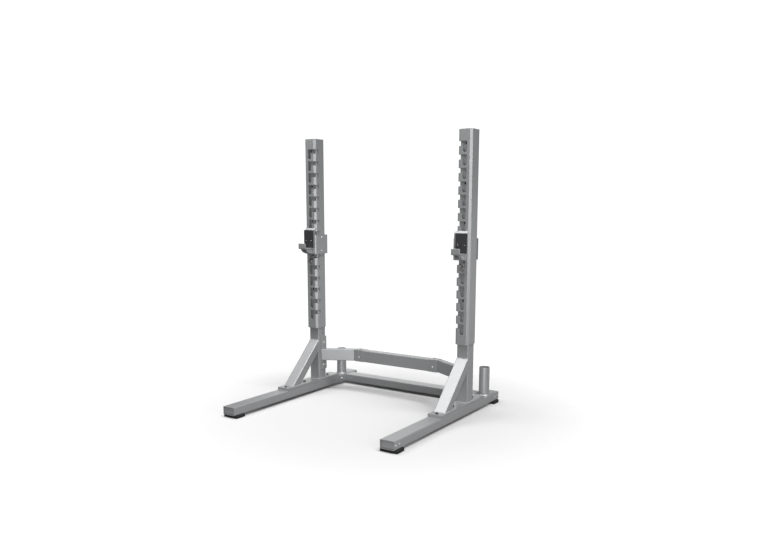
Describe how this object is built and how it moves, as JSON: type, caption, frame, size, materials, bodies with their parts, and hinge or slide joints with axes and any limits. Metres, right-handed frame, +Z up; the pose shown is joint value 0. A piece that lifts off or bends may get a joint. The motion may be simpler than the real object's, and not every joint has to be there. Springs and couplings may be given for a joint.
{
  "type": "squat stand",
  "caption": "Free-standing squat stand: slotted uprights on floor rails, tied by a lower and a bowed upper cross-member, with height-adjustable bar carriages and upright bar holders.",
  "frame": {"origin": "on the floor, in the middle of the stand's footprint", "axes": "+X to the user's right, -Y to the front where the bar rests point, +Z up"},
  "size_m": [1.319, 1.332, 1.79],
  "materials": {
    "silver_paint": "silver-grey metallic powder coat, satin",
    "zinc_fastener": "bright zinc-plated fasteners",
    "lug_steel": "machined steel lugs with a thin oxide",
    "black_bolt": "blackened steel hexagon bolts",
    "foot_rubber": "matt black moulded rubber",
    "pad_urethane": "dark grey moulded urethane, fine grain",
    "liner_plastic": "black slippery plastic sheet"
  },
  "bodies": {
    "frame": {"left_rail": "silver_paint", "right_rail": "silver_paint", "left_rail_caps": "silver_paint", "right_rail_caps": "silver_paint", "left_front_foot": "foot_rubber", "left_rear_foot": "foot_rubber", "right_front_foot": "foot_rubber", "right_rear_foot": "foot_rubber", "foot_screws": "zinc_fastener", "left_base_plate": "silver_paint", "right_base_plate": "silver_paint", "base_plate_bolts": "black_bolt", "left_upright_tube": "silver_paint", "right_upright_tube": "silver_paint", "left_slotted_channel": "silver_paint", "right_slotted_channel": "silver_paint", "left_channel_spacers": "silver_paint", "right_channel_spacers": "silver_paint", "left_top_cap": "silver_paint", "right_top_cap": "silver_paint", "left_brace": "silver_paint", "right_brace": "silver_paint", "lower_crossmember": "silver_paint", "left_lower_flange": "silver_paint", "right_lower_flange": "silver_paint", "lower_flange_bolts": "zinc_fastener", "upper_crossmember": "silver_paint", "left_crossmember_arm": "silver_paint", "right_crossmember_arm": "silver_paint", "left_knuckle": "silver_paint", "right_knuckle": "silver_paint", "knuckle_screws": "zinc_fastener", "left_upright_flange": "silver_paint", "right_upright_flange": "silver_paint", "upright_flange_bolts": "zinc_fastener", "upright_flange_nuts": "zinc_fastener", "left_bar_holder": "silver_paint", "right_bar_holder": "silver_paint", "rail_end_screws": "zinc_fastener"},
    "left_carriage": {"left_carriage_plate": "silver_paint", "left_pad_hood": "silver_paint", "left_pad": "pad_urethane", "left_pad_screws": "zinc_fastener", "left_bar_rest": "silver_paint", "left_rest_gussets": "silver_paint", "left_hook_lugs": "lug_steel", "left_side_liner": "liner_plastic", "left_rear_liner": "liner_plastic", "left_liner_screws": "zinc_fastener"},
    "right_carriage": {"right_carriage_plate": "silver_paint", "right_pad_hood": "silver_paint", "right_pad": "pad_urethane", "right_pad_screws": "zinc_fastener", "right_bar_rest": "silver_paint", "right_rest_gussets": "silver_paint", "right_hook_lugs": "lug_steel", "right_side_liner": "liner_plastic", "right_rear_liner": "liner_plastic", "right_liner_screws": "zinc_fastener"}
  },
  "joints": [
    {"name": "left_carriage_lift", "type": "slide", "parent": "frame", "child": "left_carriage", "axis": [0, 0, 1], "range_m": [0, 0.041]},
    {"name": "right_carriage_lift", "type": "slide", "parent": "frame", "child": "right_carriage", "axis": [0, 0, 1], "range_m": [0, 0.041]}
  ]
}
